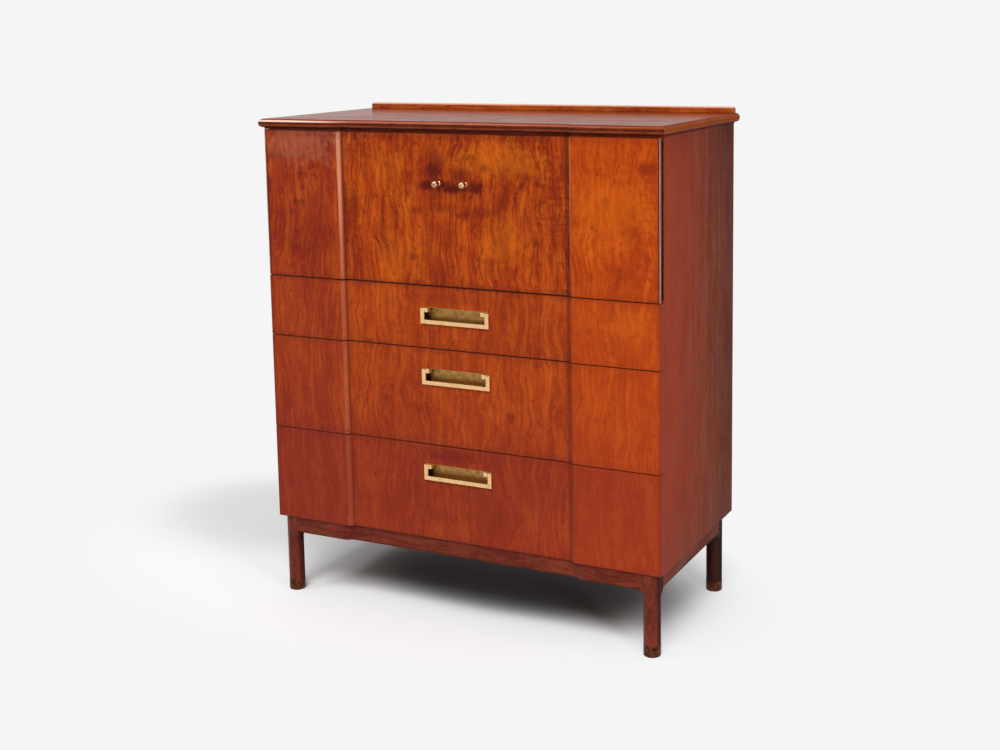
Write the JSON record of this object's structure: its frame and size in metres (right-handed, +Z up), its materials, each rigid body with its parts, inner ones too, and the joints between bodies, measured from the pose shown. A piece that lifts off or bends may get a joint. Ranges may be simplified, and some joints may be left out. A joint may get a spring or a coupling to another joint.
{
  "type": "gentlemans chest",
  "caption": "Tall bedroom chest with cupboard doors over full-width drawers, a stepped front, brass drop-bail pulls and round brass-tipped legs.",
  "frame": {"origin": "on the floor, in the middle of the box round the whole chest, knobs included", "axes": "+X to the right seen from the front, +Y to the back, +Z up; the doors and drawers face -Y"},
  "size_m": [1.061, 0.5134, 1.215],
  "materials": {
    "veneered_front": "figured walnut-type veneer under glossy red-orange lacquer",
    "veneered_case": "plain walnut-type veneer under satin lacquer",
    "veneered_top": "walnut-type veneer under glossy lacquer",
    "edge_bead_wood": "pale lipping under glossy lacquer",
    "drawer_box_wood": "planed hardwood, thin sealer",
    "back_plywood": "bare plywood",
    "base_wood": "solid walnut-type wood, dark stain and lacquer",
    "steel": "plain zinc-plated steel",
    "brass": "polished brass",
    "dull_brass": "stamped brass, dulled",
    "aged_brass": "browned brass"
  },
  "bodies": {
    "root": {"base_apron": "base_wood", "base_corner_blocks": "base_wood", "base_ferrules": "aged_brass", "base_leg_front_left": "base_wood", "base_leg_front_right": "base_wood", "base_leg_rear_left": "base_wood", "base_leg_rear_right": "base_wood", "base_rail_rear": "base_wood", "base_side_rails": "base_wood", "case_back_panel": "back_plywood", "case_bottom": "veneered_case", "case_cupboard_floor": "veneered_case", "case_divider_rails": "veneered_case", "case_screws": "steel", "case_side_left": "veneered_case", "case_side_right": "veneered_case", "case_sub_top": "veneered_case", "cupboard_partition": "veneered_case", "cupboard_shelf_pins": "brass", "cupboard_shelves": "veneered_case", "door_catches": "steel", "door_hinge_case_halves": "brass", "drawer_runners": "drawer_box_wood", "top_board": "veneered_top", "top_gallery_rail": "veneered_top", "top_ground": "veneered_top"},
    "door_left": {"door_left_edge_bead": "edge_bead_wood", "door_left_hinge_leaf": "brass", "door_left_knob": "brass", "door_left_panel": "veneered_front", "door_left_strike": "steel"},
    "door_right": {"door_right_edge_bead": "edge_bead_wood", "door_right_hinge_leaf": "brass", "door_right_knob": "brass", "door_right_panel": "veneered_front", "door_right_strike": "steel"},
    "drawer_1": {"drawer_1_bottom": "drawer_box_wood", "drawer_1_box_ends": "drawer_box_wood", "drawer_1_box_sides": "drawer_box_wood", "drawer_1_front": "veneered_front", "drawer_1_pull_dish": "dull_brass", "drawer_1_pull_pivots": "brass", "drawer_1_screws": "steel"},
    "bail_1": {"drawer_1_pull_bail": "brass"},
    "drawer_2": {"drawer_2_bottom": "drawer_box_wood", "drawer_2_box_ends": "drawer_box_wood", "drawer_2_box_sides": "drawer_box_wood", "drawer_2_front": "veneered_front", "drawer_2_pull_dish": "dull_brass", "drawer_2_pull_pivots": "brass", "drawer_2_screws": "steel"},
    "bail_2": {"drawer_2_pull_bail": "brass"},
    "drawer_3": {"drawer_3_bottom": "drawer_box_wood", "drawer_3_box_ends": "drawer_box_wood", "drawer_3_box_sides": "drawer_box_wood", "drawer_3_front": "veneered_front", "drawer_3_pull_dish": "dull_brass", "drawer_3_pull_pivots": "brass", "drawer_3_screws": "steel"},
    "bail_3": {"drawer_3_pull_bail": "brass"}
  },
  "joints": [
    {"name": "door_left_swing", "type": "hinge", "parent": "root", "child": "door_left", "pos_m": [-0.5154, -0.2185, 0.9955], "axis": [0, 0, -1], "range_deg": [0, 110]},
    {"name": "door_right_swing", "type": "hinge", "parent": "root", "child": "door_right", "pos_m": [0.5154, -0.2185, 0.9955], "axis": [0, 0, 1], "range_deg": [0, 110]},
    {"name": "drawer_1_slide", "type": "slide", "parent": "root", "child": "drawer_1", "axis": [0, -1, 0], "range_m": [0, 0.33]},
    {"name": "drawer_2_slide", "type": "slide", "parent": "root", "child": "drawer_2", "axis": [0, -1, 0], "range_m": [0, 0.33]},
    {"name": "drawer_3_slide", "type": "slide", "parent": "root", "child": "drawer_3", "axis": [0, -1, 0], "range_m": [0, 0.33]},
    {"name": "bail_1_lift", "type": "hinge", "parent": "drawer_1", "child": "bail_1", "pos_m": [0, -0.23415, 0.759], "axis": [-1, 0, 0], "range_deg": [0, 80]},
    {"name": "bail_2_lift", "type": "hinge", "parent": "drawer_2", "child": "bail_2", "pos_m": [0, -0.23415, 0.612], "axis": [-1, 0, 0], "range_deg": [0, 80]},
    {"name": "bail_3_lift", "type": "hinge", "parent": "drawer_3", "child": "bail_3", "pos_m": [0, -0.23415, 0.3775], "axis": [-1, 0, 0], "range_deg": [0, 80]}
  ]
}
